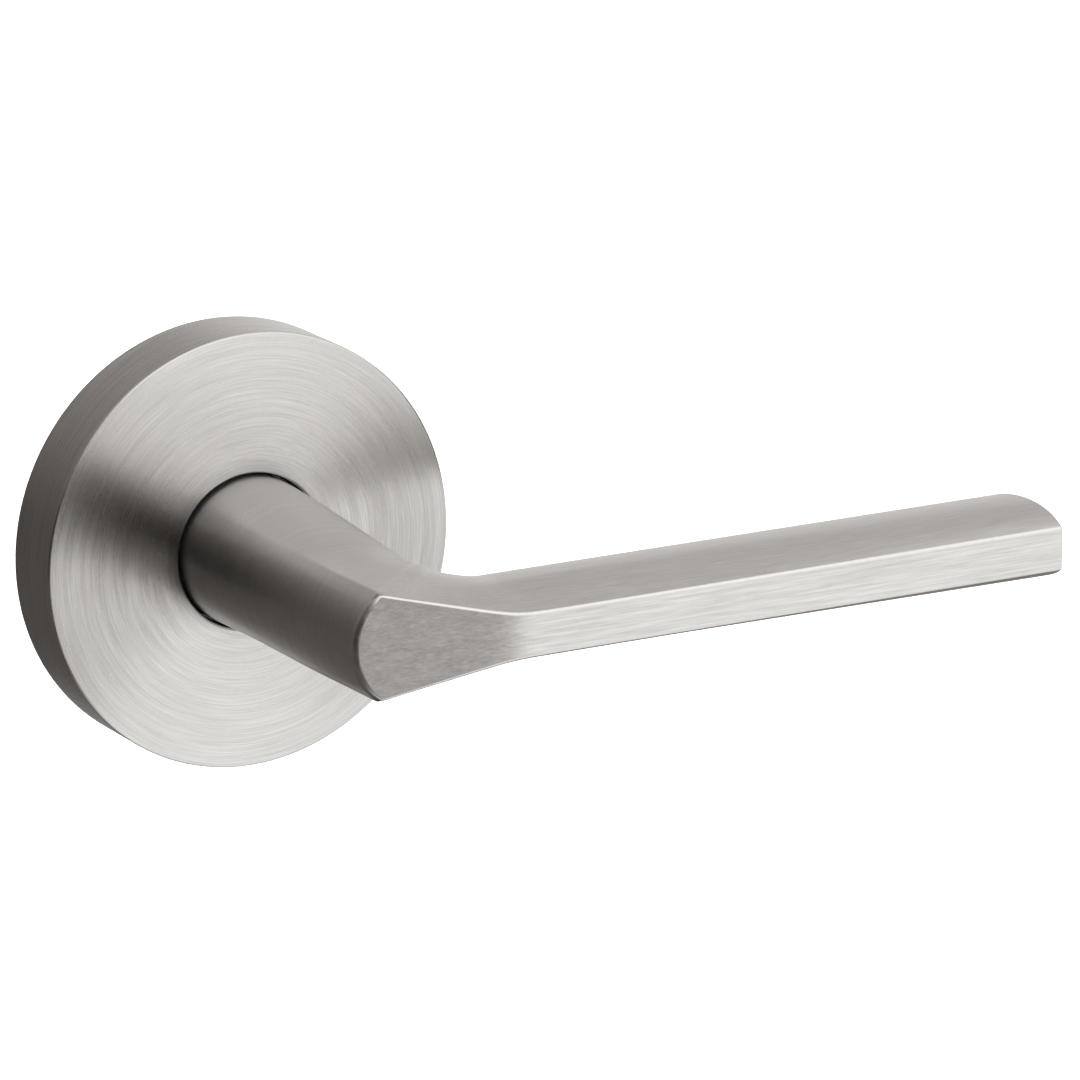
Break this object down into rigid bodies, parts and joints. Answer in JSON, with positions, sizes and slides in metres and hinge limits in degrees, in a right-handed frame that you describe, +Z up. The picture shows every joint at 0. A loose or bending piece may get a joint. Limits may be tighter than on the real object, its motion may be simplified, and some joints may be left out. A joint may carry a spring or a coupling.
{
  "type": "door lever handle",
  "caption": "Lever door handle on a round rose: round neck with a tilted flat end, slim lens-shaped blade, sprung hub, square spindle and concealed fixings.",
  "frame": {"origin": "the spindle axis at the door face, which is the centre of the back of the rose", "axes": "+X along the lever towards its tip, +Y into the door along the spindle, +Z up"},
  "size_m": [0.1387, 0.1102, 0.0666],
  "materials": {
    "satin_nickel": "satin nickel plate, brushed",
    "black_acetal": "moulded, matt",
    "natural_nylon": "moulded, matt",
    "die_cast_zinc": "as cast, tumbled",
    "plated_steel": "bright zinc plate",
    "spring_steel": "drawn wire and strip, lightly oiled",
    "blackened_steel": "black oxide"
  },
  "bodies": {
    "rose": {"rose_cover": "satin_nickel", "guide_ring": "black_acetal", "mounting_plate": "die_cast_zinc", "adapter_ring": "natural_nylon", "threaded_posts": "plated_steel", "rose_clips": "spring_steel", "clip_rivets": "plated_steel", "spring_cover": "plated_steel", "cover_screws": "plated_steel", "rear_bush": "black_acetal", "front_bush": "black_acetal", "return_spring": "spring_steel"},
    "lever": {"lever_handle": "satin_nickel", "hub": "plated_steel", "spindle": "plated_steel", "spindle_pin": "spring_steel", "driver_cam": "plated_steel", "set_screw": "blackened_steel", "thrust_washer": "plated_steel", "wave_washer": "spring_steel", "circlip": "blackened_steel"}
  },
  "joints": [
    {"name": "lever_turn", "type": "hinge", "parent": "rose", "child": "lever", "pos_m": [0, 0, 0], "axis": [0, 1, 0], "range_deg": [-45, 45], "stiffness_Nm_per_rad": 1.6, "springref_deg": -4.58, "deforming": ["return_spring"]}
  ]
}
